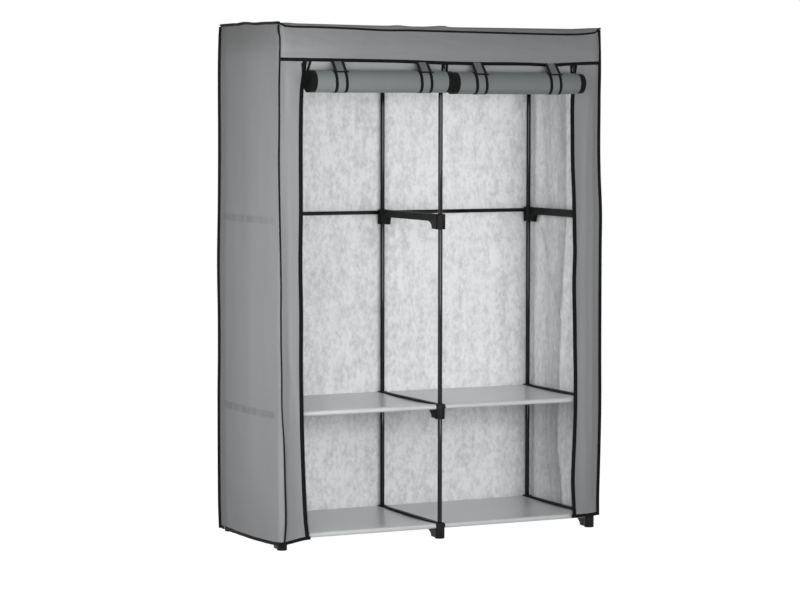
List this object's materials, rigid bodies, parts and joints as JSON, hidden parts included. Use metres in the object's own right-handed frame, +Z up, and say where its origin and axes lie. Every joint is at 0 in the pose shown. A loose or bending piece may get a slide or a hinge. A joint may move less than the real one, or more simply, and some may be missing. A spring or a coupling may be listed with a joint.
{
  "type": "fabric wardrobe",
  "caption": "Free-standing fabric wardrobe: a push-together tube frame with cloth shelves and hanging rails under a zipped cover whose doors roll up.",
  "frame": {"origin": "on the floor, under the middle of the outline, which takes in the rolled doors that stand out in front", "axes": "+Z up, +X to the right of a person who faces the doors, -Y out through the doors"},
  "size_m": [1.18, 0.5667, 1.7],
  "materials": {
    "frame_plastic": "moulded black plastic, fine grain",
    "frame_steel": "black powder coat, semi-gloss",
    "cover_cloth": "grey non-woven cloth with black binding",
    "door_cloth": "grey non-woven cloth, rolled, with black zip tape",
    "strap_cloth": "grey cloth strap with black bound edges",
    "shelf_cloth": "light grey coated cloth",
    "zip_metal": "black lacquered zip slider"
  },
  "bodies": {
    "wardrobe": {"left_foot_bar": "frame_plastic", "left_shelf_bar": "frame_plastic", "left_brace_bar": "frame_plastic", "left_top_bar": "frame_plastic", "left_front_lower_upright": "frame_steel", "left_front_middle_upright": "frame_steel", "left_front_upper_upright": "frame_steel", "left_back_lower_upright": "frame_steel", "left_back_middle_upright": "frame_steel", "left_back_upper_upright": "frame_steel", "centre_foot_bar": "frame_plastic", "centre_shelf_bar": "frame_plastic", "centre_brace_bar": "frame_plastic", "centre_top_bar": "frame_plastic", "centre_front_lower_upright": "frame_steel", "centre_front_middle_upright": "frame_steel", "centre_front_upper_upright": "frame_steel", "centre_back_lower_upright": "frame_steel", "centre_back_middle_upright": "frame_steel", "centre_back_upper_upright": "frame_steel", "right_foot_bar": "frame_plastic", "right_shelf_bar": "frame_plastic", "right_brace_bar": "frame_plastic", "right_top_bar": "frame_plastic", "right_front_lower_upright": "frame_steel", "right_front_middle_upright": "frame_steel", "right_front_upper_upright": "frame_steel", "right_back_lower_upright": "frame_steel", "right_back_middle_upright": "frame_steel", "right_back_upper_upright": "frame_steel", "left_foot_front_tube": "frame_steel", "left_foot_back_tube": "frame_steel", "left_shelf_front_tube": "frame_steel", "left_shelf_back_tube": "frame_steel", "left_brace_back_tube": "frame_steel", "left_top_front_tube": "frame_steel", "left_top_back_tube": "frame_steel", "left_hanging_rail": "frame_steel", "left_bottom_shelf": "shelf_cloth", "left_middle_shelf": "shelf_cloth", "right_foot_front_tube": "frame_steel", "right_foot_back_tube": "frame_steel", "right_shelf_front_tube": "frame_steel", "right_shelf_back_tube": "frame_steel", "right_brace_back_tube": "frame_steel", "right_top_front_tube": "frame_steel", "right_top_back_tube": "frame_steel", "right_hanging_rail": "frame_steel", "right_bottom_shelf": "shelf_cloth", "right_middle_shelf": "shelf_cloth", "left_cover_side": "cover_cloth", "right_cover_side": "cover_cloth", "cover_back_top_valance": "cover_cloth", "left_door_straps": "strap_cloth", "right_door_straps": "strap_cloth"},
    "left_door_roll": {"left_door": "door_cloth"},
    "right_door_roll": {"right_door": "door_cloth"},
    "left_zip": {"left_zip_slider": "zip_metal"},
    "centre_zip": {"centre_zip_slider": "zip_metal"},
    "right_zip": {"right_zip_slider": "zip_metal"}
  },
  "joints": [
    {"name": "left_door_unroll", "type": "slide", "parent": "wardrobe", "child": "left_door_roll", "axis": [0, 0, -1], "range_m": [0, 1.4475], "deforming": ["left_door_straps"]},
    {"name": "right_door_unroll", "type": "slide", "parent": "wardrobe", "child": "right_door_roll", "axis": [0, 0, -1], "range_m": [0, 1.4435], "deforming": ["right_door_straps"]},
    {"name": "left_zip_slide", "type": "slide", "parent": "wardrobe", "child": "left_zip", "axis": [0, 0, -1], "range_m": [0, 1.516]},
    {"name": "centre_zip_slide", "type": "slide", "parent": "wardrobe", "child": "centre_zip", "axis": [0, 0, -1], "range_m": [0, 0.03]},
    {"name": "right_zip_slide", "type": "slide", "parent": "wardrobe", "child": "right_zip", "axis": [0, 0, -1], "range_m": [0, 1.516]}
  ]
}
